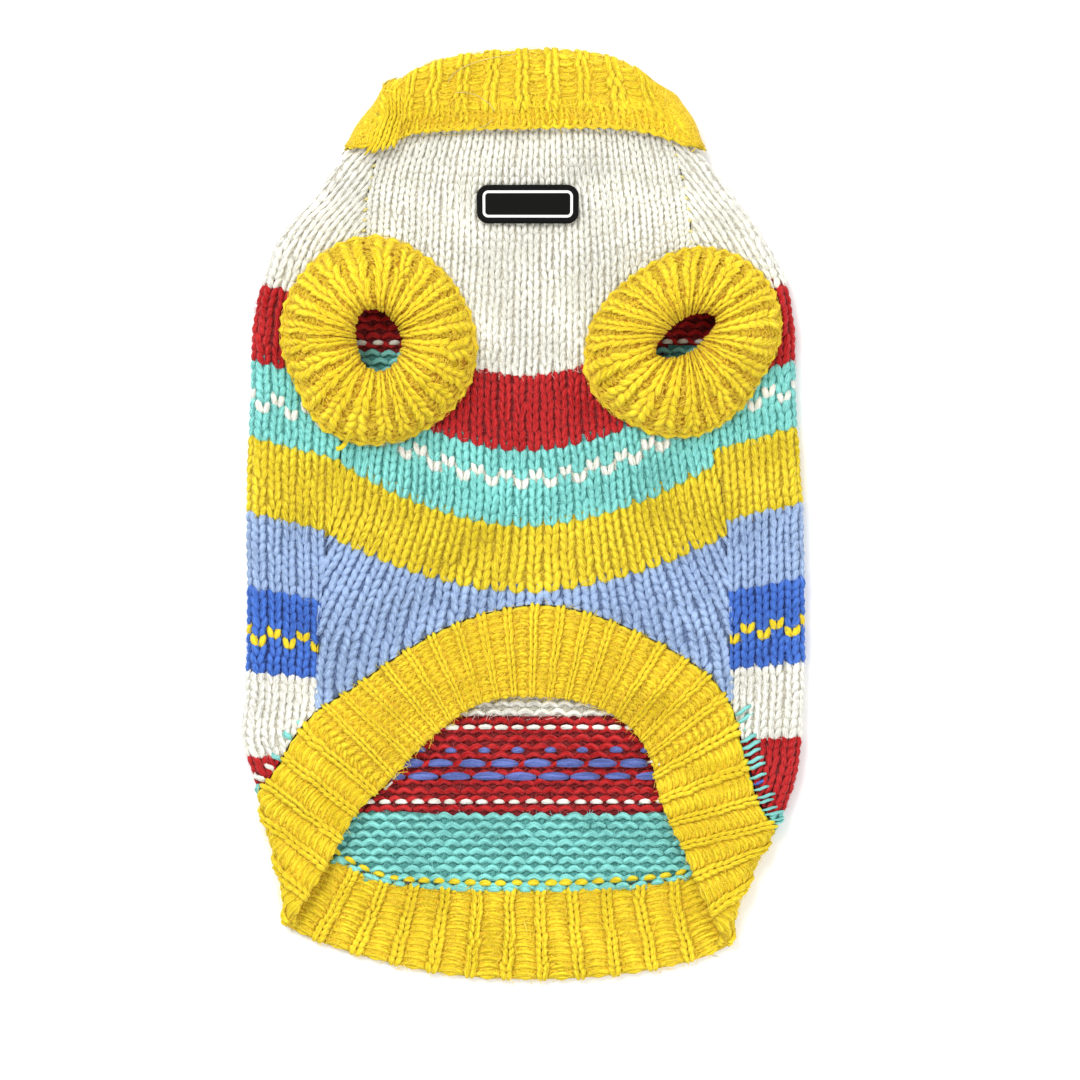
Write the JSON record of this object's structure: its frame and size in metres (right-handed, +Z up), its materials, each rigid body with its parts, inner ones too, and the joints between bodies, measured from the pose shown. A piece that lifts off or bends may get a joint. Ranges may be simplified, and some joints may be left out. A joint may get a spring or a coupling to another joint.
{
  "type": "knitted dog sweater",
  "caption": "Striped knitted dog sweater laid flat, with a turned-down ribbed collar, rolled ribbed sleeve cuffs, a ribbed hem and a blank rubber label.",
  "frame": {"origin": "middle of the laid sweater's outline, on the surface it lies on", "axes": "+Y from the hem towards the collar, +X to the right seen from above, +Z up from the surface"},
  "size_m": [0.197, 0.3258, 0.0258],
  "materials": {
    "body_knit": "chunky striped acrylic stocking-stitch knit, cream ground",
    "rib_knit": "fuzzy yellow acrylic rib knit",
    "label_rubber": "matt black moulded rubber with a white line round the edge"
  },
  "bodies": {
    "root": {"back_panel": "body_knit", "belly_panel": "body_knit", "collar": "rib_knit", "cuff_left": "rib_knit", "cuff_right": "rib_knit", "hem_belly": "rib_knit", "hem_back": "rib_knit", "label_patch": "label_rubber"}
  },
  "joints": []
}
